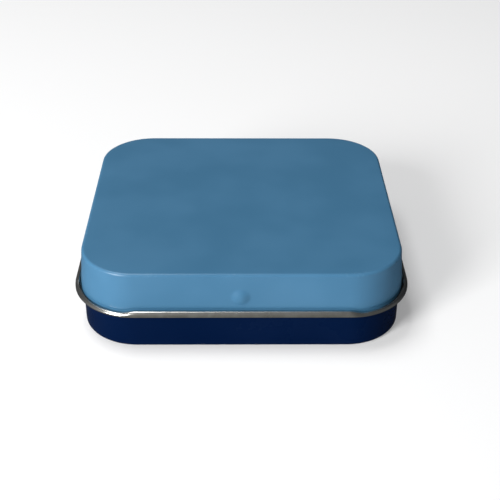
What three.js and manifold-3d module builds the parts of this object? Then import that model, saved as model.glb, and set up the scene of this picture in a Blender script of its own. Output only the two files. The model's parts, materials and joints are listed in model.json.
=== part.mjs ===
// A small hinged pocket tin: a drawn base, and a shallow drawn lid that slips over the base's
// lip. The foot of the lid's skirt is rolled outward into a rim. Two tongues of the base's rear lip
// pass through slots in the lid's rear skirt and wrap round that rim, which is the hinge's pin.
// Millimetres, +Z up, front towards -Y. The origin is the middle of the whole object's underside.

import * as THREE from 'three';
import { mergeVertices } from 'three/addons/utils/BufferGeometryUtils.js';
import Module from 'manifold-3d';

const wasm = await Module();
wasm.setup();

// ---- Driving dimensions ----

const SHEET = 0.25;              // tinplate thickness

const LID_WIDTH = 60;            // outside of the lid's skirt at its foot, along X
const LID_DEPTH = 56.8;          // outside of the lid's skirt at its foot, along Y
const LID_CORNER = 10.9;         // plan radius of the skirt's corners at its foot
const LID_TAPER = 0.08;          // how far the skirt leans in for each millimetre of height
const LID_EDGE = 0.6;            // radius where the top turns into the skirt
const TIN_HEIGHT = 15.45;        // table to the top of the closed lid

const RIM_CENTRE_Z = 7.76;       // height of the rolled rim's centre on the straight sides
const RIM_RADIUS = 0.7;          // the roll on the straight sides
const CORNER_HALF_HEIGHT = 0.45; // the flatter roll round the corners
const RIM_BLEND = 1.8;           // length over which the roll fills out beside each corner
const FOOT_HEIGHT = 0.8;         // the skirt's lowest part, which reaches down further at a corner

const BASE_EDGE = 0.9;           // radius where the base's floor turns into its wall
const LIP_CLEARANCE = 0.12;      // between the base's wall and the inside of the rim
const LIP_HEIGHT = 2.2;          // how far the base's lip reaches above the rim's centre
const HEM_HEIGHT = 1.1;          // folded safe edge inside the lip's top
const HEM_FOLD = 0.3;            // extra thickness of that fold
const JOINT_GAP = 0.1;           // gap between stretches of sheet that are separate solids

const TAB_WIDTH = 7;             // hinge tongue, along X
const TAB_X = 14;                // middle of each tongue from the tin's middle
const TAB_RING = 0.97;           // mid radius of the tongue round the rim
const TAB_BEND = 0.5;            // mid radius of the tongue's first bend
const TAB_END = THREE.MathUtils.degToRad(80);
const SLOT_HEIGHT = 1.6;         // slot's top above the rim's centre
const SLOT_SIDE = 0.4;           // slot beyond each side of the tongue
const NOTCH_FOOT = 0.25;         // notch in the base's lip, below the rim's centre

const NIB_X = -0.2;              // thumb nib on the front of the skirt
const NIB_Z = 10.9;
const NIB_HALF_WIDTH = 1.5;
const NIB_HALF_HEIGHT = 1.35;
const NIB_STAND = 0.5;

const CORNER_STEPS = 10;         // facets round each plan corner
const EDGE_STEPS = 4;            // facets round each small edge radius
const ROLL_STEPS = 12;           // facets round the rolled rim

// ---- Worked out from those ----

const SKIRT_FOOT = RIM_CENTRE_Z + RIM_RADIUS + JOINT_GAP;
const RIM_OUT = 2 * RIM_RADIUS - SHEET;
const CORNER_DROP = 2 * (RIM_RADIUS - CORNER_HALF_HEIGHT);
const WALL_OUT = -(SHEET + LIP_CLEARANCE);
const LIP_TOP = RIM_CENTRE_Z + LIP_HEIGHT;
const HINGE_Y = LID_DEPTH / 2 + RIM_RADIUS - SHEET;
const TAB_OUT = HINGE_Y + TAB_RING + SHEET / 2;
const TAB_OVERHANG = TAB_OUT - (LID_DEPTH / 2 + RIM_OUT);

// ---- Materials ----

function lacquer(color) {
  return new THREE.MeshStandardMaterial({ color, roughness: 0.4, metalness: 0 });
}

const lidBlue = lacquer('#447093');
const baseNavy = lacquer('#021736');
const bareTin = new THREE.MeshStandardMaterial({ color: '#b9b8b2', roughness: 0.3, metalness: 1 });

// ---- Plan outline ----

// Stations anticlockwise round the foot of the lid's skirt. Each has its place, its outward direction
// and how far it is from the nearest corner along the straight side.
function perimeter(distances) {
  const stations = [];
  const halfX = LID_WIDTH / 2 - LID_CORNER;
  const halfY = LID_DEPTH / 2 - LID_CORNER;
  for (let corner = 0; corner < 4; corner += 1) {
    const start = corner * Math.PI / 2;
    const cx = corner === 0 || corner === 3 ? halfX : -halfX;
    const cy = corner < 2 ? halfY : -halfY;
    for (let step = 0; step <= CORNER_STEPS; step += 1) {
      const angle = start + step / CORNER_STEPS * Math.PI / 2;
      stations.push(station(cx, cy, angle, 0, 0));
    }
    const end = start + Math.PI / 2;
    const side = corner % 2 === 0 ? 2 * halfX : 2 * halfY;
    for (const along of distances) stations.push(station(cx, cy, end, along, along));
    for (const along of distances.toReversed()) stations.push(station(cx, cy, end, side - along, along));
  }
  return stations;
}

// One station: out from a corner's centre at an angle, then on along the straight side.
function station(cx, cy, angle, along, fromCorner) {
  const nx = Math.cos(angle);
  const ny = Math.sin(angle);
  const x = cx + LID_CORNER * nx - along * ny;
  const y = cy + LID_CORNER * ny + along * nx;
  return { x, y, nx, ny, fromCorner };
}

function ring(stations, place) {
  return stations.map((s) => {
    const [out, z] = place(s);
    return new THREE.Vector3(s.x + s.nx * out, s.y + s.ny * out, z);
  });
}

// ---- Solids ----

// Skin through a list of rings. Open ends are capped flat; a looped list closes on itself.
function loft(rings, looped) {
  const count = rings[0].length;
  const points = rings.flat();
  const index = [];
  const last = looped ? rings.length : rings.length - 1;
  for (let level = 0; level < last; level += 1) {
    const next = (level + 1) % rings.length;
    for (let i = 0; i < count; i += 1) {
      const j = (i + 1) % count;
      index.push(level * count + i, level * count + j, next * count + j);
      index.push(level * count + i, next * count + j, next * count + i);
    }
  }
  if (!looped) {
    cap(points, index, rings[0], 0, true);
    cap(points, index, rings.at(-1), (rings.length - 1) * count, false);
  }
  const geometry = new THREE.BufferGeometry().setFromPoints(points);
  geometry.setIndex(index);
  return geometry;
}

function cap(points, index, edge, first, flipped) {
  const centre = points.length;
  points.push(new THREE.Vector3(0, 0, edge[0].z));
  for (let i = 0; i < edge.length; i += 1) {
    const j = (i + 1) % edge.length;
    if (flipped) index.push(centre, first + j, first + i);
    else index.push(centre, first + i, first + j);
  }
}

// Points of a quarter round from one direction to the next, both in degrees.
function roundEdge(out, z, radius, from, to) {
  const points = [];
  for (let step = 0; step <= EDGE_STEPS; step += 1) {
    const angle = THREE.MathUtils.degToRad(from + (to - from) * step / EDGE_STEPS);
    points.push([out + radius * Math.cos(angle), z + radius * Math.sin(angle)]);
  }
  return points;
}

// A drawn shell: its section carried round the outline. Each of the section's entries is an
// [outward offset, height] pair, or a function that gives the pair for a station.
function drawnShell(section, stations) {
  const rings = section.map((entry) => {
    return ring(stations, typeof entry === 'function' ? entry : () => entry);
  });
  return loft(rings, false);
}

function solid(geometry) {
  const bare = geometry.clone();
  bare.deleteAttribute('normal');
  bare.deleteAttribute('uv');
  const merged = mergeVertices(bare, 1e-5);
  const vertProperties = new Float32Array(merged.attributes.position.array);
  const triVerts = new Uint32Array(merged.index.array);
  return new wasm.Manifold(new wasm.Mesh({ numProp: 3, vertProperties, triVerts }));
}

function geometryOf(manifold) {
  const mesh = manifold.getMesh();
  const geometry = new THREE.BufferGeometry();
  geometry.setAttribute('position', new THREE.BufferAttribute(mesh.vertProperties, 3));
  geometry.setIndex(new THREE.BufferAttribute(mesh.triVerts, 1));
  return geometry;
}

function block(x0, x1, y0, y1, z0, z1) {
  const box = new THREE.BoxGeometry(x1 - x0, y1 - y0, z1 - z0);
  return solid(box.translate((x0 + x1) / 2, (y0 + y1) / 2, (z0 + z1) / 2));
}

function ellipsoid(rx, ry, rz, x, y, z) {
  const ball = new THREE.SphereGeometry(1, 20, 14);
  return solid(ball.scale(rx, ry, rz).translate(x, y, z));
}

function part(name, geometry, material) {
  geometry.computeVertexNormals();
  const mesh = new THREE.Mesh(geometry, material);
  mesh.name = name;
  return mesh;
}

// ---- Base ----

function baseShell() {
  const inner = BASE_EDGE - SHEET;
  const lean = WALL_OUT - LID_TAPER * LIP_HEIGHT;
  const hem = lean - SHEET - HEM_FOLD;
  const shell = drawnShell([
    ...roundEdge(WALL_OUT - BASE_EDGE, BASE_EDGE, BASE_EDGE, -90, 0),
    [WALL_OUT, RIM_CENTRE_Z],
    [lean, LIP_TOP],
    [hem, LIP_TOP],
    [hem, LIP_TOP - HEM_HEIGHT],
    [hem + HEM_FOLD, LIP_TOP - HEM_HEIGHT - HEM_FOLD],
    [WALL_OUT - SHEET, RIM_CENTRE_Z],
    ...roundEdge(WALL_OUT - BASE_EDGE, BASE_EDGE, inner, 0, -90),
  ], perimeter([]));
  let pan = solid(shell);
  for (const side of [-1, 1]) pan = pan.subtract(tongueNotch(side * TAB_X));
  return part('base_shell', geometryOf(pan), baseNavy);
}

function tongueNotch(x) {
  const half = TAB_WIDTH / 2 + JOINT_GAP;
  const y = LID_DEPTH / 2;
  return block(x - half, x + half, y - 2, y + 1, RIM_CENTRE_Z - NOTCH_FOOT, LIP_TOP + 1);
}

// A tongue's section in the YZ plane, measured from the hinge line: up in the wall's plane, bent
// outward through the lid's slot, then round the rim's outside to near its foot. That turns the
// sheet's bare inner face outward.
function tongueSection() {
  const half = SHEET / 2;
  const wall = WALL_OUT + LID_DEPTH / 2 - HINGE_Y - half;
  const bendY = wall + TAB_BEND;
  const bendZ = TAB_RING - TAB_BEND;
  const top = Math.PI / 2;
  const section = new THREE.Shape();
  section.moveTo(wall - half, JOINT_GAP - NOTCH_FOOT);
  section.absarc(bendY, bendZ, TAB_BEND + half, Math.PI, top, true);
  section.absarc(0, 0, TAB_RING + half, top, -TAB_END, true);
  section.absarc(0, 0, TAB_RING - half, -TAB_END, top, false);
  section.absarc(bendY, bendZ, TAB_BEND - half, top, Math.PI, false);
  section.lineTo(wall + half, JOINT_GAP - NOTCH_FOOT);
  return section;
}

function hingeTab(name, x) {
  const strip = new THREE.ExtrudeGeometry(tongueSection(), {
    depth: TAB_WIDTH,
    bevelEnabled: false,
    curveSegments: 10,
  });
  strip.rotateY(Math.PI / 2);
  strip.rotateX(Math.PI / 2);
  strip.translate(x - TAB_WIDTH / 2, HINGE_Y, RIM_CENTRE_Z);
  return part(name, strip, bareTin);
}

// ---- Lid ----

const rimStations = perimeter([RIM_BLEND / 3, RIM_BLEND * 2 / 3, RIM_BLEND]);

// 0 round a corner, rising to 1 on the straight sides.
function straightness(s) {
  return THREE.MathUtils.smoothstep(s.fromCorner, 0, RIM_BLEND);
}

// The skirt's foot, which reaches lower to meet the flatter roll at a corner.
function skirtFoot(out) {
  return (s) => [out, SKIRT_FOOT - CORNER_DROP * (1 - straightness(s))];
}

function lidShell() {
  const edgeZ = TIN_HEIGHT - LID_EDGE;
  const edge = -LID_TAPER * (edgeZ - SKIRT_FOOT) - LID_EDGE;
  const low = SKIRT_FOOT + FOOT_HEIGHT;
  const lowOut = -LID_TAPER * FOOT_HEIGHT;
  const shell = drawnShell([
    ...roundEdge(edge, edgeZ, LID_EDGE - SHEET, 90, 0),
    [lowOut - SHEET, low],
    skirtFoot(-SHEET),
    skirtFoot(0),
    [lowOut, low],
    ...roundEdge(edge, edgeZ, LID_EDGE, 0, 90),
  ], rimStations);
  let lid = solid(shell);
  const front = -LID_DEPTH / 2 + LID_TAPER * (NIB_Z - SKIRT_FOOT);
  const nib = ellipsoid(NIB_HALF_WIDTH, NIB_STAND, NIB_HALF_HEIGHT, NIB_X, front, NIB_Z);
  const behind = block(-LID_WIDTH, LID_WIDTH, front + SHEET / 2, 0, 0, TIN_HEIGHT);
  lid = lid.add(nib.subtract(behind));
  const hollow = [NIB_HALF_WIDTH - SHEET, NIB_STAND, NIB_HALF_HEIGHT - SHEET];
  lid = lid.subtract(ellipsoid(...hollow, NIB_X, front + SHEET, NIB_Z));
  for (const side of [-1, 1]) lid = lid.subtract(hingeSlot(side * TAB_X));
  return part('lid_shell', geometryOf(lid), lidBlue);
}

function hingeSlot(x) {
  const half = TAB_WIDTH / 2 + SLOT_SIDE;
  const y = LID_DEPTH / 2;
  return block(x - half, x + half, y - 1, y + 1, SKIRT_FOOT - 1, RIM_CENTRE_Z + SLOT_HEIGHT);
}

// The roll keeps its outer edge and its foot in line all the way round. It is flatter at the
// corners, where the sheet resists curling.
function rolledRim() {
  const foot = RIM_CENTRE_Z - RIM_RADIUS;
  const rings = [];
  for (let step = 0; step < ROLL_STEPS; step += 1) {
    const angle = step / ROLL_STEPS * Math.PI * 2;
    rings.push(ring(rimStations, (s) => {
      const half = THREE.MathUtils.lerp(CORNER_HALF_HEIGHT, RIM_RADIUS, straightness(s));
      const out = RIM_OUT - RIM_RADIUS + RIM_RADIUS * Math.cos(angle);
      return [out, foot + half + half * Math.sin(angle)];
    }));
  }
  return part('rolled_rim', loft(rings, true), bareTin);
}

// ---- The tin ----

const tin = new THREE.Group();
tin.position.y = -TAB_OVERHANG / 2;
tin.add(baseShell(), rolledRim(), lidShell());
tin.add(hingeTab('hinge_tab_left', -TAB_X), hingeTab('hinge_tab_right', TAB_X));

export default tin;
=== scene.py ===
"""A small hinged pocket tin on a pale floor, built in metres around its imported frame."""

import json
import math
from collections import namedtuple

import bpy
from mathutils import Euler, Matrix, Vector


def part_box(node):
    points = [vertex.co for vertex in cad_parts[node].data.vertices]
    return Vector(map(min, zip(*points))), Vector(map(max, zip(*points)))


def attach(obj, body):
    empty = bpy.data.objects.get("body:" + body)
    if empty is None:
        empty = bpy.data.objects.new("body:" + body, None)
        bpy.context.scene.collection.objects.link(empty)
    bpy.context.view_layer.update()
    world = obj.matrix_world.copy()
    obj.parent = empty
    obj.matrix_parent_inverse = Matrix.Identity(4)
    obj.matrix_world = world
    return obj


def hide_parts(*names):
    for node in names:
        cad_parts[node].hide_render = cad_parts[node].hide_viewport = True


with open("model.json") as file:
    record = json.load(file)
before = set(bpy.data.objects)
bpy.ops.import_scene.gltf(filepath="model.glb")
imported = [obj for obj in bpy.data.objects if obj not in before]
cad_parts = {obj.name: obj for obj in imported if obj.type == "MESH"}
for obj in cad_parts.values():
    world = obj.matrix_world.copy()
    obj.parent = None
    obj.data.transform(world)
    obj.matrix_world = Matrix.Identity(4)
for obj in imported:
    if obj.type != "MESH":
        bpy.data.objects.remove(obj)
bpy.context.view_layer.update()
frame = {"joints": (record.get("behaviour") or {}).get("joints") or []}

MM = 0.001

# ---- Sizes, in millimetres, from the frame's boxes and the sheet's own few dimensions ----


def box_mm(node):
    low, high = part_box(node)
    return low / MM, high / MM


base_low, base_high = box_mm("base_shell")
rim_low, rim_high = box_mm("rolled_rim")
_, lid_high = box_mm("lid_shell")
hinge = Vector(frame["joints"][0]["pos_m"]) / MM

SHEET = 0.25
JOINT_GAP = 0.1
PLAN_CENTRE = (base_low + base_high) / 2
LID_TOP = lid_high.z
LIP_TOP = base_high.z
RIM_FOOT = rim_low.z
RIM_RADIUS = hinge.z - rim_low.z
SKIRT_FOOT = hinge.z + RIM_RADIUS + JOINT_GAP
RIM_OUT = 2 * RIM_RADIUS - SHEET
SKIRT_HALF_X = rim_high.x - RIM_OUT
SKIRT_HALF_Y = rim_high.y - PLAN_CENTRE.y - RIM_OUT
WALL_OUT = base_high.x - SKIRT_HALF_X

LID_CORNER = 10.9
LID_TAPER = 0.08
LID_EDGE = 0.6
CORNER_HALF_HEIGHT = 0.45
RIM_BLEND = 2.8
FOOT_HEIGHT = 0.8
CORNER_DROP = 2 * (RIM_RADIUS - CORNER_HALF_HEIGHT)
BASE_EDGE = 0.6
HEM_HEIGHT = 1.1
HEM_FOLD = 0.3
HEM_SEAM = 0.05

NIB_X = -0.2
NIB_Z = 10.9
NIB_HALF_WIDTH = 1.9
NIB_HALF_HEIGHT = 1.7
NIB_STAND = 0.42
ROLL_END = 446
CREASE = 0.1
CREASE_HEIGHT = 0.3

TAB_RING = 0.97
TAB_BEND = 0.5
TAB_END = math.radians(80)
TAB_CORNER = 1.3
SLOT_SIDE = 0.4
SLOT_HEIGHT = 1.6
SLOT_FOOT = 0.15
NOTCH_SIDE = 0.1
NOTCH_FOOT = 0.25
WINDOW_CORNER = 0.35
WINDOW_REACH = 1.2

CORNER_STEPS = 28
PLATE_STEPS = 10
ROLL_STEPS = 32
TAB_STEPS = 44
TAB_COLUMNS = 8
WINDOW_CORNER_STEPS = 6
NIB_STEP = 0.2
STATION_GAP = 3
FLOOR_GAP = 0.05
SHARP_ANGLE = math.radians(38)

# ---- Node helpers ----


def srgb(red, green, blue):
    """A colour given as 0 to 255 per channel, in linear light."""
    def linear(value):
        share = value / 255
        return share / 12.92 if share <= 0.04045 else ((share + 0.055) / 1.055) ** 2.4
    return linear(red), linear(green), linear(blue), 1.0


def plug(tree, socket, value):
    if isinstance(value, bpy.types.NodeSocket):
        tree.links.new(value, socket)
    else:
        socket.default_value = value


def add(tree, kind, settings=None, **inputs):
    """A new node with its settings and its inputs, given as values or as other nodes' outputs."""
    node = tree.nodes.new("ShaderNode" + kind)
    for name, value in (settings or {}).items():
        setattr(node, name, value)
    for name, value in inputs.items():
        plug(tree, node.inputs[name.replace("_", " ")], value)
    return node


def mix_colour(tree, factor, low, high):
    node = add(tree, "Mix", {"data_type": "RGBA"})
    for index, value in ((0, factor), (6, low), (7, high)):
        plug(tree, node.inputs[index], value)
    return node.outputs[2]


def mix_value(tree, factor, low, high):
    node = add(tree, "Mix", {"data_type": "FLOAT"})
    for index, value in ((0, factor), (2, low), (3, high)):
        plug(tree, node.inputs[index], value)
    return node.outputs[0]


def arithmetic(tree, operation, first, second):
    node = add(tree, "Math", {"operation": operation})
    plug(tree, node.inputs[0], first)
    plug(tree, node.inputs[1], second)
    return node.outputs[0]


def stretch(tree, value, low, high, to_low=0.0, to_high=1.0):
    """value from low to high, spread to to_low to to_high with soft ends."""
    node = add(tree, "MapRange", {"interpolation_type": "SMOOTHSTEP"}, Value=value,
               From_Min=low, From_Max=high, To_Min=to_low, To_Max=to_high)
    return node.outputs[0]


def noise(tree, vector, scale, detail=3.0, roughness=0.5):
    node = add(tree, "TexNoise", Vector=vector, Scale=scale, Detail=detail, Roughness=roughness)
    return node.outputs[0]


def group(name, inputs, outputs):
    """A new node group with named sockets. inputs maps a name to (kind, default)."""
    tree = bpy.data.node_groups.new(name, "ShaderNodeTree")
    for label, (kind, default) in inputs.items():
        socket = tree.interface.new_socket(label, in_out="INPUT", socket_type="NodeSocket" + kind)
        if default is not None:
            socket.default_value = default
    for label, kind in outputs.items():
        tree.interface.new_socket(label, in_out="OUTPUT", socket_type="NodeSocket" + kind)
    return tree, tree.nodes.new("NodeGroupInput").outputs, tree.nodes.new("NodeGroupOutput").inputs


def place(tree, shared, **inputs):
    """A shared node group placed in a material."""
    return add(tree, "Group", {"node_tree": shared}, **inputs).outputs


# ---- Shared effects ----


def millimetre_place():
    """The piece's own coordinates in millimetres, so that every scale below is per millimetre."""
    tree, _, out = group("millimetre place", {}, {"Place": "Vector"})
    own = add(tree, "TexCoord").outputs["Object"]
    scaled = add(tree, "VectorMath", {"operation": "SCALE"})
    plug(tree, scaled.inputs[0], own)
    scaled.inputs["Scale"].default_value = 1 / MM
    plug(tree, out["Place"], scaled.outputs[0])
    return tree


def lacquer_film():
    """Stoved lacquer: faint clouding in its colour and an orange peel too fine to see singly."""
    tree, given, out = group(
        "lacquer film",
        {"Place": ("Vector", None), "Colour": ("Color", None), "Clouding": ("Float", 0.05)},
        {"Colour": "Color", "Cloud": "Float", "Height": "Float"},
    )
    cloud = stretch(tree, noise(tree, given["Place"], 0.07, 2.0), 0.3, 0.7)
    speck = stretch(tree, noise(tree, given["Place"], 5.0, 2.0, 0.7), 0.62, 0.8)
    pale = add(tree, "HueSaturation", Color=given["Colour"], Value=1.05, Saturation=0.98)
    deep = add(tree, "HueSaturation", Color=given["Colour"], Value=0.95)
    clouded = mix_colour(tree, cloud, deep.outputs[0], pale.outputs[0])
    specked = mix_colour(tree, arithmetic(tree, "MULTIPLY", speck, given["Clouding"]),
                         clouded, deep.outputs[0])
    peel = noise(tree, given["Place"], 1.6, 2.0, 0.4)
    fine = noise(tree, given["Place"], 9.0, 2.0, 0.5)
    plug(tree, out["Colour"], specked)
    plug(tree, out["Cloud"], cloud)
    plug(tree, out["Height"], mix_value(tree, 0.25, peel, fine))
    return tree


def hairlines():
    """Sparse fine scratches, running mostly one way: a mask."""
    tree, given, out = group(
        "hairlines",
        {"Place": ("Vector", None), "Turn": ("Float", 0.3), "Share": ("Float", 0.5)},
        {"Mask": "Float"},
    )
    turned = add(tree, "VectorRotate", {"rotation_type": "Z_AXIS"}, Vector=given["Place"],
                 Angle=given["Turn"])
    squeezed = add(tree, "Mapping", Vector=turned.outputs[0], Scale=(0.05, 6.0, 2.0))
    lines = stretch(tree, noise(tree, squeezed.outputs[0], 1.0, 2.0, 0.6), 0.66, 0.74)
    patches = stretch(tree, noise(tree, given["Place"], 0.12, 1.0), 0.5, 0.7)
    both = arithmetic(tree, "MULTIPLY", lines, patches)
    plug(tree, out["Mask"], arithmetic(tree, "MULTIPLY", both, given["Share"]))
    return tree


def handling():
    """Soft smudges left by fingers: a mask for roughness."""
    tree, given, out = group("handling", {"Place": ("Vector", None)}, {"Smudge": "Float"})
    wide = stretch(tree, noise(tree, given["Place"], 0.09, 3.0, 0.6), 0.45, 0.75)
    grain = noise(tree, given["Place"], 1.3, 3.0, 0.6)
    plug(tree, out["Smudge"], arithmetic(tree, "MULTIPLY", wide, grain))
    return tree


def edge_rub():
    """Where edges have been rubbed: the mesh's own worn attribute, broken up by noise."""
    tree, given, out = group("edge rub", {"Place": ("Vector", None), "Reach": ("Float", 0.5)},
                             {"Mask": "Float"})
    worn = add(tree, "Attribute", {"attribute_name": "worn"}).outputs["Fac"]
    broken = noise(tree, given["Place"], 1.4, 4.0, 0.7)
    sparse = stretch(tree, noise(tree, given["Place"], 0.15, 2.0), 0.45, 0.7)
    rough = stretch(tree, arithmetic(tree, "MULTIPLY", worn, broken), 0.5, 0.62)
    spread = arithmetic(tree, "MULTIPLY", rough, sparse)
    plug(tree, out["Mask"], arithmetic(tree, "MULTIPLY", spread, given["Reach"]))
    return tree


def drawn_grain():
    """Tinplate's rolling grain: fine lines along one direction, with slow stains across them."""
    tree, given, out = group("drawn grain", {"Lines": ("Vector", None), "Place": ("Vector", None)},
                             {"Grain": "Float", "Stain": "Float"})
    fine = noise(tree, given["Lines"], 1.0, 4.0, 0.65)
    stain = noise(tree, given["Place"], 0.25, 3.0, 0.6)
    plug(tree, out["Grain"], fine)
    plug(tree, out["Stain"], stretch(tree, stain, 0.35, 0.7))
    return tree


MILLIMETRES = millimetre_place()
LACQUER_FILM = lacquer_film()
HAIRLINES = hairlines()
HANDLING = handling()
EDGE_RUB = edge_rub()
DRAWN_GRAIN = drawn_grain()

# ---- Materials ----


def material(name):
    finish = bpy.data.materials.new(name)
    finish.use_nodes = True
    tree = finish.node_tree
    tree.nodes.clear()
    shader = add(tree, "BsdfPrincipled")
    add(tree, "OutputMaterial", Surface=shader.outputs[0])
    return finish, tree, shader


def lacquer(name, colour, rubbed, gloss, shine, turn):
    """Lacquered tinplate. gloss is the roughness of clean film; rubbed shows at worn edges."""
    finish, tree, shader = material(name)
    spot = place(tree, MILLIMETRES)["Place"]
    film = place(tree, LACQUER_FILM, Place=spot, Colour=colour)
    lines = place(tree, HAIRLINES, Place=spot, Turn=turn)["Mask"]
    smudge = place(tree, HANDLING, Place=spot)["Smudge"]
    rub = place(tree, EDGE_RUB, Place=spot, Reach=0.22)["Mask"]
    thinned = mix_colour(tree, rub, film["Colour"], rubbed)
    plug(tree, shader.inputs["Base Color"], thinned)
    dulled = mix_value(tree, smudge, gloss, gloss + 0.16)
    plug(tree, shader.inputs["Roughness"], arithmetic(tree, "ADD", dulled,
                                                      arithmetic(tree, "MULTIPLY", lines, 0.1)))
    height = arithmetic(tree, "SUBTRACT", film["Height"], arithmetic(tree, "MULTIPLY", lines, 0.4))
    bump = add(tree, "Bump", Strength=0.35, Distance=0.004 * MM, Height=height)
    plug(tree, shader.inputs["Normal"], bump.outputs[0])
    shader.inputs["Specular IOR Level"].default_value = shine
    return finish


def tinplate(name, bright, dull, gloss, lines_scale, follow_sheet):
    """Bare tinplate. Its grain follows the sheet's own layout, or the piece's X direction."""
    finish, tree, shader = material(name)
    spot = place(tree, MILLIMETRES)["Place"]
    along = add(tree, "UVMap", {"uv_map": "sheet"}).outputs[0] if follow_sheet else spot
    squeezed = add(tree, "Mapping", Vector=along, Scale=lines_scale).outputs[0]
    grain = place(tree, DRAWN_GRAIN, Lines=squeezed, Place=spot)
    rub = place(tree, EDGE_RUB, Place=spot, Reach=0.6)["Mask"]
    stained = mix_colour(tree, arithmetic(tree, "MULTIPLY", grain["Stain"], 0.5), bright, dull)
    streaked = mix_colour(tree, arithmetic(tree, "MULTIPLY", grain["Grain"], 0.35), stained, dull)
    plug(tree, shader.inputs["Base Color"], mix_colour(tree, rub, streaked, bright))
    rough = mix_value(tree, grain["Grain"], gloss - 0.05, gloss + 0.07)
    stain_rough = arithmetic(tree, "MULTIPLY", grain["Stain"], 0.06)
    plug(tree, shader.inputs["Roughness"], arithmetic(tree, "ADD", rough, stain_rough))
    bump = add(tree, "Bump", Strength=0.3, Distance=0.004 * MM, Height=grain["Grain"])
    plug(tree, shader.inputs["Normal"], bump.outputs[0])
    shader.inputs["Metallic"].default_value = 1.0
    return finish


LID_BLUE = lacquer("light blue lid lacquer", srgb(65, 115, 149), srgb(106, 146, 174), 0.3, 0.35, 0.4)
BASE_NAVY = lacquer("navy base lacquer", srgb(0, 19, 52), srgb(34, 54, 80), 0.24, 0.04, 1.2)
BARE_RIM = tinplate("bare tinplate roll", srgb(200, 200, 197), srgb(146, 144, 136), 0.19,
                    (0.15, 9.0, 1.0), True)
BARE_INSIDE = tinplate("bare tinplate inside", srgb(196, 195, 190), srgb(160, 157, 148), 0.33,
                       (0.08, 5.0, 5.0), False)

# ---- Plan outline ----

Station = namedtuple("Station", "x y nx ny along into_corner")
Row = namedtuple("Row", "place finish worn")


def side_marks(length, extra):
    """Distances along one straight side. Extra ones take the place of those that they cover."""
    count = round(length / STATION_GAP)
    marks = [length * step / count for step in range(1, count + 1)]
    kept = [mark for mark in marks if not extra or not extra[0] - 0.3 < mark < extra[-1] + 0.3]
    return sorted(kept + list(extra))


def perimeter(front_extra=()):
    """Stations anticlockwise round the foot of the lid's skirt, each with its outward direction."""
    half_x = SKIRT_HALF_X - LID_CORNER
    half_y = SKIRT_HALF_Y - LID_CORNER
    stations = []
    along = 0.0
    for corner in range(4):
        centre_x = half_x if corner in (0, 3) else -half_x
        centre_y = half_y if corner < 2 else -half_y
        start = corner * math.pi / 2
        for step in range(CORNER_STEPS + 1):
            turn = step / CORNER_STEPS * math.pi / 2
            nx, ny = math.cos(start + turn), math.sin(start + turn)
            stations.append(Station(centre_x + LID_CORNER * nx, centre_y + LID_CORNER * ny,
                                    nx, ny, along + LID_CORNER * turn,
                                    LID_CORNER * min(turn, math.pi / 2 - turn)))
        along += LID_CORNER * math.pi / 2
        length = 2 * half_x if corner % 2 == 0 else 2 * half_y
        last = stations[-1]
        for mark in side_marks(length, front_extra if corner == 2 else ()):
            stations.append(Station(last.x - mark * last.ny, last.y + mark * last.nx,
                                    last.nx, last.ny, along + mark, 0.0))
        along += length
    return stations


def straightness(station):
    """1 on the straight sides, falling softly to 0 a little way into each corner."""
    share = 1 - min(station.into_corner / RIM_BLEND, 1.0)
    return share * share * (3 - 2 * share)


def roll_half_height(station):
    return CORNER_HALF_HEIGHT + (RIM_RADIUS - CORNER_HALF_HEIGHT) * straightness(station)


def drop(station):
    """How far the skirt's foot reaches lower to meet the flatter roll round a corner."""
    return CORNER_DROP * (1 - straightness(station))


# ---- Sheet sections ----


def at(out, z):
    return lambda station: (out, z)


def dropped(out, z):
    return lambda station: (out, z - drop(station))


def bend(out, z, radius, start, end, steps, finish, worn=0.0):
    """Rows round a bend. Angles are in degrees, 0 outward and 90 up."""
    rows = []
    for step in range(steps + 1):
        angle = math.radians(start + (end - start) * step / steps)
        rows.append(Row(at(out + radius * math.cos(angle), z + radius * math.sin(angle)),
                        finish, worn))
    return rows


def wall(out, low, high, steps, finish):
    """Rows up or down a straight wall, without its ends."""
    return [Row(at(out, low + (high - low) * step / steps), finish, 0.0) for step in range(1, steps)]


def ring_of(stations, row):
    points = []
    for station in stations:
        out, z = row.place(station)
        points.append(Vector((station.x + station.nx * out, station.y + station.ny * out, z)))
    return points


def plate_rings(edge, outward):
    """Rings that shrink from a flat plate's edge to its middle, or grow the other way."""
    rings = []
    for step in range(1, PLATE_STEPS + 1):
        share = 1 - step / (PLATE_STEPS + 0.4)
        rings.append([Vector((p.x * share, p.y * share, p.z)) for p in edge])
    return rings[::-1] if outward else rings


# ---- Mesh ----


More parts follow.
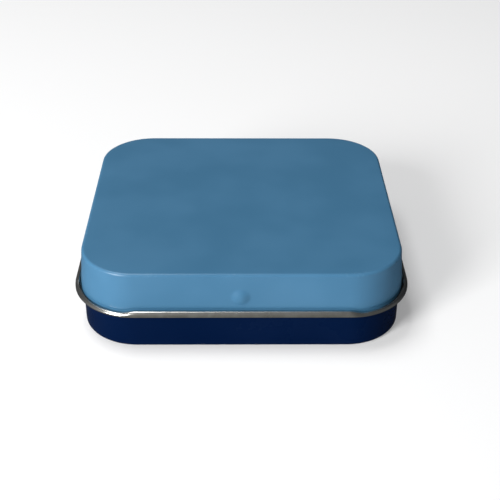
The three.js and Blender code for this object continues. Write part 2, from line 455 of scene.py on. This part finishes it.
def build_sheet(name, stations, rows, looped, finishes):
    """One closed piece of sheet, skinned through its section's rows. A section that isn't looped
    starts and ends on flat plates."""
    rings = [ring_of(stations, row) for row in rows]
    bands = [(row.finish, row.worn) for row in rows]
    if not looped:
        first = plate_rings(rings[0], True)
        last = plate_rings(rings[-1], False)
        rings = first + rings + last
        bands = [(rows[0].finish, 0.0)] * len(first) + bands + [(rows[-1].finish, 0.0)] * len(last)
    count = len(stations)
    turn = stations[-1].along + (rings[0][0] - rings[0][-1]).length
    depth = [0.0]
    for before, after in zip(rings, rings[1:] + rings[:1]):
        depth.append(depth[-1] + (after[0] - before[0]).length)
    faces, finish_of, layout = [], [], []
    for level in range(len(rings) if looped else len(rings) - 1):
        above = (level + 1) % len(rings)
        for i in range(count):
            j = (i + 1) % count
            faces.append((level * count + i, level * count + j, above * count + j, above * count + i))
            finish_of.append(bands[level][0])
            left = stations[i].along
            right = stations[j].along if j else turn
            layout += [(left, depth[level]), (right, depth[level]),
                       (right, depth[level + 1]), (left, depth[level + 1])]
    if not looped:
        for ring, first, flip in ((rings[0], 0, True), (rings[-1], (len(rings) - 1) * count, False)):
            order = range(count - 1, -1, -1) if flip else range(count)
            faces.append(tuple(first + i for i in order))
            finish_of.append(bands[0 if flip else -1][0])
            layout += [(ring[i].x, ring[i].y) for i in order]
    points = [(p + PLAN_CENTRE.xy.to_3d()) * MM for ring in rings for p in ring]
    worn = [band[1] for band in bands for _ in range(count)]
    return finish_mesh(name, points, faces, finish_of, layout, worn, finishes)


def finish_mesh(name, points, faces, finish_of, layout, worn, finishes):
    mesh = bpy.data.meshes.new(name)
    mesh.from_pydata(points, [], faces)
    for finish in finishes:
        mesh.materials.append(finish)
    mesh.polygons.foreach_set("material_index", finish_of)
    mesh.polygons.foreach_set("use_smooth", [True] * len(faces))
    sheet = mesh.uv_layers.new(name="sheet")
    sheet.data.foreach_set("uv", [value for pair in layout for value in pair])
    rubbed = mesh.attributes.new("worn", "FLOAT", "POINT")
    rubbed.data.foreach_set("value", worn)
    mesh.update()
    mesh.set_sharp_from_angle(angle=SHARP_ANGLE)
    piece = bpy.data.objects.new(name, mesh)
    bpy.context.scene.collection.objects.link(piece)
    return piece


def window_cutter(middle_x, wall_y, half_width, low, high, finish_index,
                  outward=WINDOW_REACH):
    """A prism with rounded corners that cuts a window through a wall facing the back. outward is how
    far it reaches past the wall."""
    outline = []
    corners = ((1, 1), (-1, 1), (-1, -1), (1, -1))
    for index, (side, end) in enumerate(corners):
        centre_x = middle_x + side * (half_width - WINDOW_CORNER)
        centre_z = (high - WINDOW_CORNER) if end > 0 else (low + WINDOW_CORNER)
        for step in range(WINDOW_CORNER_STEPS + 1):
            angle = (index + step / WINDOW_CORNER_STEPS) * math.pi / 2
            outline.append((centre_x + WINDOW_CORNER * math.cos(angle),
                            centre_z + WINDOW_CORNER * math.sin(angle)))
    count = len(outline)
    points = [Vector((x, wall_y + out, z)) * MM
              for out in (-WINDOW_REACH, outward) for x, z in outline]
    faces = [(count + i, count + (i + 1) % count, (i + 1) % count, i) for i in range(count)]
    faces += [tuple(range(count)), tuple(range(count, 2 * count))[::-1]]
    mesh = bpy.data.meshes.new("window")
    mesh.from_pydata(points, [], faces)
    for _ in range(finish_index + 1):
        mesh.materials.append(BARE_INSIDE)
    mesh.polygons.foreach_set("material_index", [finish_index] * len(faces))
    cutter = bpy.data.objects.new("window", mesh)
    bpy.context.scene.collection.objects.link(cutter)
    return cutter


def cut_windows(piece, cutters):
    for cutter in cutters:
        modifier = piece.modifiers.new("window", "BOOLEAN")
        modifier.operation = "DIFFERENCE"
        modifier.solver = "EXACT"
        modifier.object = cutter
    ready = piece.evaluated_get(bpy.context.evaluated_depsgraph_get())
    cut = bpy.data.meshes.new_from_object(ready)
    piece.modifiers.clear()
    piece.data = cut
    cut.set_sharp_from_angle(angle=SHARP_ANGLE)
    for cutter in cutters:
        bpy.data.objects.remove(cutter)


def tab_middles():
    """The middle of each hinge tongue along X, and half its width."""
    spans = [box_mm(node) for node in ("hinge_tab_left", "hinge_tab_right")]
    return [(low.x + high.x) / 2 for low, high in spans], (spans[0][1].x - spans[0][0].x) / 2


# ---- Pieces ----


def base_pan():
    """The drawn base: navy outside, bare inside, with a lip that leans in to enter the lid, a safe
    edge folded inside that lip, and a notch for each hinge tongue."""
    navy, bare = 0, 1
    middle = WALL_OUT - BASE_EDGE
    lean = WALL_OUT - LID_TAPER * (LIP_TOP - hinge.z)
    fold = (SHEET + HEM_FOLD) / 2
    hem_foot = LIP_TOP - HEM_HEIGHT
    rows = bend(middle, BASE_EDGE, BASE_EDGE, -90, 0, 10, navy, 1.0)
    rows += wall(WALL_OUT, BASE_EDGE, hinge.z, 5, navy)
    rows += [Row(at(WALL_OUT, hinge.z), navy, 0.0)]
    rows += bend(lean - fold, LIP_TOP - fold, fold, 0, 180, 12, navy, 0.6)
    rows += [Row(at(lean - 2 * fold, hem_foot), navy, 0.3),
             Row(at(lean - SHEET - HEM_SEAM, hem_foot), bare, 0.0),
             Row(at(lean - SHEET - HEM_SEAM, hem_foot + 2 * HEM_SEAM), bare, 0.0),
             Row(at(lean - SHEET, hem_foot + 2 * HEM_SEAM), bare, 0.0),
             Row(at(WALL_OUT - SHEET, hinge.z), bare, 0.0)]
    rows += wall(WALL_OUT - SHEET, hinge.z, BASE_EDGE, 5, bare)
    rows += bend(middle, BASE_EDGE, BASE_EDGE - SHEET, 0, -90, 10, bare)
    pan = build_sheet("base_pan", perimeter(), rows, False, [BASE_NAVY, BARE_INSIDE])
    xs, half = tab_middles()
    rear = PLAN_CENTRE.y + SKIRT_HALF_Y + WALL_OUT - SHEET
    cut_windows(pan, [window_cutter(x, rear, half + NOTCH_SIDE, hinge.z - NOTCH_FOOT,
                                    LIP_TOP + 1, bare) for x in xs])
    return pan


def rim_roll():
    """The curl of the lid's foot: down from the skirt, out and back up towards it. It keeps its
    outer edge and its foot in line, and is flatter round the corners."""
    def round_roll(angle, inner):
        thickness = SHEET if inner else 0.0

        def place_on(station):
            half = roll_half_height(station)
            return (RIM_OUT - RIM_RADIUS + (RIM_RADIUS - thickness) * math.cos(angle),
                    RIM_FOOT + half + (half - thickness) * math.sin(angle))
        return place_on

    start, stop = math.radians(180), math.radians(ROLL_END)
    angles = [start + (stop - start) * step / ROLL_STEPS for step in range(ROLL_STEPS + 1)]
    rows = [Row(dropped(-SHEET - CREASE, SKIRT_FOOT), 0, 0.0)]
    rows += [Row(round_roll(angle, False), 0, 1.0) for angle in angles]
    rows += [Row(round_roll(angle, True), 0, 0.0) for angle in angles[::-2]]
    rows[-1] = rows[-1]._replace(finish=1)
    rows += [Row(dropped(-CREASE, SKIRT_FOOT), 0, 0.0)]
    roll = build_sheet("rim_roll", perimeter(), rows, True, [BARE_RIM, LID_BLUE])
    xs, half = tab_middles()
    rear = PLAN_CENTRE.y + SKIRT_HALF_Y
    cut_windows(roll, [window_cutter(x, rear, half + SLOT_SIDE, hinge.z + SLOT_FOOT,
                                     SKIRT_FOOT + 1, 0, SLOT_FOOT) for x in xs])
    return roll


def nib_push(station, z):
    """How far the thumb nib pushes the front skirt out."""
    if station.ny > -0.999:
        return 0.0
    across = (station.x - NIB_X) / NIB_HALF_WIDTH
    up = (z - NIB_Z) / NIB_HALF_HEIGHT
    far = across * across + up * up
    return NIB_STAND * (1 - far) ** 2 * (1 + 0.5 * far) if far < 1 else 0.0


def skirt_row(out, z, finish):
    """A row of the lid's leaning skirt. Near its foot it tucks in to a crease above the roll, and
    round the corners it reaches lower to meet the flatter roll."""
    above = z - SKIRT_FOOT
    tuck = CREASE * max(0.0, 1 - above / CREASE_HEIGHT) ** 2
    lean = out - LID_TAPER * above - tuck
    share = max(0.0, 1 - above / FOOT_HEIGHT)

    def place_on(station):
        return lean + nib_push(station, z), z - share * drop(station)
    return Row(place_on, finish, 0.0)


def skirt_heights(top):
    """Heights down the skirt from top to its foot, close together at the nib and in the crease."""
    steps = round(2 * NIB_HALF_HEIGHT / NIB_STEP)
    high = NIB_Z + NIB_HALF_HEIGHT
    heights = [top + (high - top) * share for share in (0.33, 0.67)]
    heights += [high - 2 * NIB_HALF_HEIGHT * step / steps for step in range(steps + 1)]
    return heights + [SKIRT_FOOT + CREASE_HEIGHT * share for share in (0.8, 0.6, 0.4, 0.2, 0.0)]


def lid_pan():
    """The drawn lid: blue outside, bare inside, with the thumb nib and a slot above the rim for
    each hinge tongue."""
    blue, bare = 0, 1
    edge_z = LID_TOP - LID_EDGE
    middle = -LID_TAPER * (edge_z - SKIRT_FOOT) - LID_EDGE
    heights = skirt_heights(edge_z)
    rows = bend(middle, edge_z, LID_EDGE - SHEET, 90, 0, 8, bare)
    rows += [skirt_row(-SHEET, z, bare) for z in heights]
    rows += [skirt_row(0.0, z, blue) for z in heights[::-1]]
    rows += bend(middle, edge_z, LID_EDGE, 0, 90, 12, blue, 1.0)
    half_x = SKIRT_HALF_X - LID_CORNER
    reach = NIB_HALF_WIDTH + NIB_STEP / 2
    columns = round(2 * reach / NIB_STEP)
    marks = [half_x + NIB_X - reach + NIB_STEP * column for column in range(columns + 1)]
    pan = build_sheet("lid_pan", perimeter(marks), rows, False, [LID_BLUE, BARE_INSIDE])
    xs, half = tab_middles()
    rear = PLAN_CENTRE.y + SKIRT_HALF_Y
    cut_windows(pan, [window_cutter(x, rear, half + SLOT_SIDE, SKIRT_FOOT - 1,
                                    hinge.z + SLOT_HEIGHT, bare) for x in xs])
    return pan


def tongue_path():
    """The tongue's middle line from the hinge, as (y, z, outward y, outward z, length so far)."""
    rear = SKIRT_HALF_Y + PLAN_CENTRE.y + WALL_OUT - hinge.y - SHEET / 2
    bend_y, bend_z = rear + TAB_BEND, TAB_RING - TAB_BEND
    path = [(rear, -NOTCH_FOOT, 1.0, 0.0), (rear, (bend_z - NOTCH_FOOT) / 2, 1.0, 0.0)]
    for step in range(13):
        angle = math.pi * (1 - step / 24)
        path.append((bend_y + TAB_BEND * math.cos(angle), bend_z + TAB_BEND * math.sin(angle),
                     -math.cos(angle), -math.sin(angle)))
    path.append((bend_y / 2, TAB_RING, 0.0, -1.0))
    for step in range(TAB_STEPS + 1):
        angle = math.pi / 2 - (TAB_END + math.pi / 2) * step / TAB_STEPS
        path.append((TAB_RING * math.cos(angle), TAB_RING * math.sin(angle),
                     -math.cos(angle), -math.sin(angle)))
    lengths = [0.0]
    for before, after in zip(path, path[1:]):
        lengths.append(lengths[-1] + math.hypot(after[0] - before[0], after[1] - before[1]))
    return [point + (length,) for point, length in zip(path, lengths)]


def hinge_tongue(name, middle_x, half_width):
    """A tongue of the base's wall, wrapped round the rim, with its free end's corners rounded.
    The sheet's bare inner face is turned outward; its lacquered face lies against the rim."""
    path = tongue_path()
    total = path[-1][-1]
    columns = TAB_COLUMNS
    points, layout_of, worn = [], [], []
    for side in (-1, 1):
        for y, z, out_y, out_z, length in path:
            into = max(0.0, length - (total - TAB_CORNER))
            width = half_width - TAB_CORNER + math.sqrt(max(0.0, TAB_CORNER ** 2 - into ** 2))
            for column in range(columns + 1):
                x = middle_x + width * (2 * column / columns - 1)
                points.append(Vector((x, hinge.y + y + side * out_y * SHEET / 2,
                                      hinge.z + z + side * out_z * SHEET / 2)) * MM)
                layout_of.append((x, length))
                worn.append(1.0 if column in (0, columns) else 0.3)
    across = columns + 1
    far_side = len(path) * across
    faces, finish_of = [], []
    for level in range(len(path) - 1):
        for column in range(columns):
            a = level * across + column
            b = far_side + a
            faces += [(a + 1, a + across + 1, a + across, a), (b, b + across, b + across + 1, b + 1)]
            finish_of += [0, 1]
        for a, flip in ((level * across, False), (level * across + columns, True)):
            edge = (a, a + across, far_side + a + across, far_side + a)
            faces.append(edge[::-1] if flip else edge)
            finish_of.append(0)
    for start, flip in ((0, True), ((len(path) - 1) * across, False)):
        for column in range(columns):
            a = start + column
            edge = (a, a + 1, far_side + a + 1, far_side + a)
            faces.append(edge[::-1] if flip else edge)
            finish_of.append(0)
    layout = [layout_of[vertex] for face in faces for vertex in face]
    return finish_mesh(name, points, faces, finish_of, layout, worn, [BARE_RIM, BASE_NAVY])


def build_tin():
    pan = base_pan()
    roll = rim_roll()
    lid = lid_pan()
    for piece, node, body, slot in ((pan, "base_shell", "base", "base_lacquer"),
                                    (roll, "rolled_rim", "lid", "bare_tinplate"),
                                    (lid, "lid_shell", "lid", "lid_lacquer")):
        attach(piece, body)
        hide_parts(node)
    xs, half = tab_middles()
    for side, x in zip(("left", "right"), xs):
        tongue = hinge_tongue("hinge_tongue_" + side, x, half)
        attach(tongue, "base")
        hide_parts("hinge_tab_" + side)


# ---- Stage ----


def pale_floor():
    half = 1500 * MM
    mesh = bpy.data.meshes.new("floor")
    sides = [(-half, -half), (half, -half), (half, half), (-half, half)]
    mesh.from_pydata([(x, y, -FLOOR_GAP * MM) for x, y in sides], [], [(0, 1, 2, 3)])
    finish, tree, shader = material("pale floor")
    spot = add(tree, "TexCoord").outputs["Object"]
    tone = noise(tree, spot, 6.0)
    plug(tree, shader.inputs["Base Color"],
         mix_colour(tree, tone, srgb(224, 224, 224), srgb(227, 227, 227)))
    shader.inputs["Roughness"].default_value = 0.9
    shader.inputs["Specular IOR Level"].default_value = 0.1
    shader.inputs["Emission Color"].default_value = srgb(255, 255, 255)
    shader.inputs["Emission Strength"].default_value = 0.25
    mesh.materials.append(finish)
    floor = bpy.data.objects.new("floor", mesh)
    bpy.context.scene.collection.objects.link(floor)
    floor.visible_glossy = False


def soft_light(name, place_mm, aim_mm, size_mm, watts):
    lamp = bpy.data.lights.new(name, "AREA")
    lamp.shape = "RECTANGLE"
    lamp.size = size_mm[0] * MM
    lamp.size_y = size_mm[1] * MM
    lamp.energy = watts
    holder = bpy.data.objects.new(name, lamp)
    holder.location = Vector(place_mm) * MM
    toward = Vector(aim_mm) - Vector(place_mm)
    holder.rotation_euler = toward.to_track_quat("-Z", "Y").to_euler()
    bpy.context.scene.collection.objects.link(holder)


def studio():
    aim = (0, 0, 8)
    soft_light("left window", (-440, -490, 270), aim, (230, 340), 5.7)
    soft_light("overhead", (-170, 40, 600), (-40, 20, 8), (330, 210), 1.8)
    world = bpy.data.worlds.new("room")
    world.use_nodes = True
    tree = world.node_tree
    tree.nodes.clear()
    direction = add(tree, "SeparateXYZ", Vector=add(tree, "TexCoord").outputs["Generated"])
    toward_back = stretch(tree, direction.outputs["Y"], -0.2, 0.6)
    front = mix_colour(tree, stretch(tree, direction.outputs["Z"], -0.3, 0.3),
                       srgb(146, 145, 140), srgb(148, 148, 149))
    toward_right = stretch(tree, direction.outputs["X"], -0.1, 0.5)
    shade = mix_colour(tree, toward_back, mix_colour(tree, toward_right, front, srgb(96, 97, 98)),
                       mix_colour(tree, toward_right, srgb(90, 92, 94), srgb(50, 52, 56)))
    back = add(tree, "Background", Color=shade, Strength=1.0)
    add(tree, "OutputWorld", Surface=back.outputs[0])
    bpy.context.scene.world = world
    bpy.context.scene.view_settings.view_transform = "Standard"


def camera():
    lens = bpy.data.cameras.new("camera")
    lens.sensor_width = 36
    lens.lens = 72
    lens.clip_start = 10 * MM
    holder = bpy.data.objects.new("camera", lens)
    from_middle = Vector((-0.775, -174.456, 111.791))
    holder.location = (PLAN_CENTRE.xy.to_3d() + from_middle) * MM
    holder.rotation_euler = Euler([math.radians(angle) for angle in (58.117, -0.356, -0.612)])
    bpy.context.scene.collection.objects.link(holder)
    bpy.context.scene.camera = holder


build_tin()
pale_floor()
studio()
camera()


def corners(size):
    return [list(corner) for corner in size]
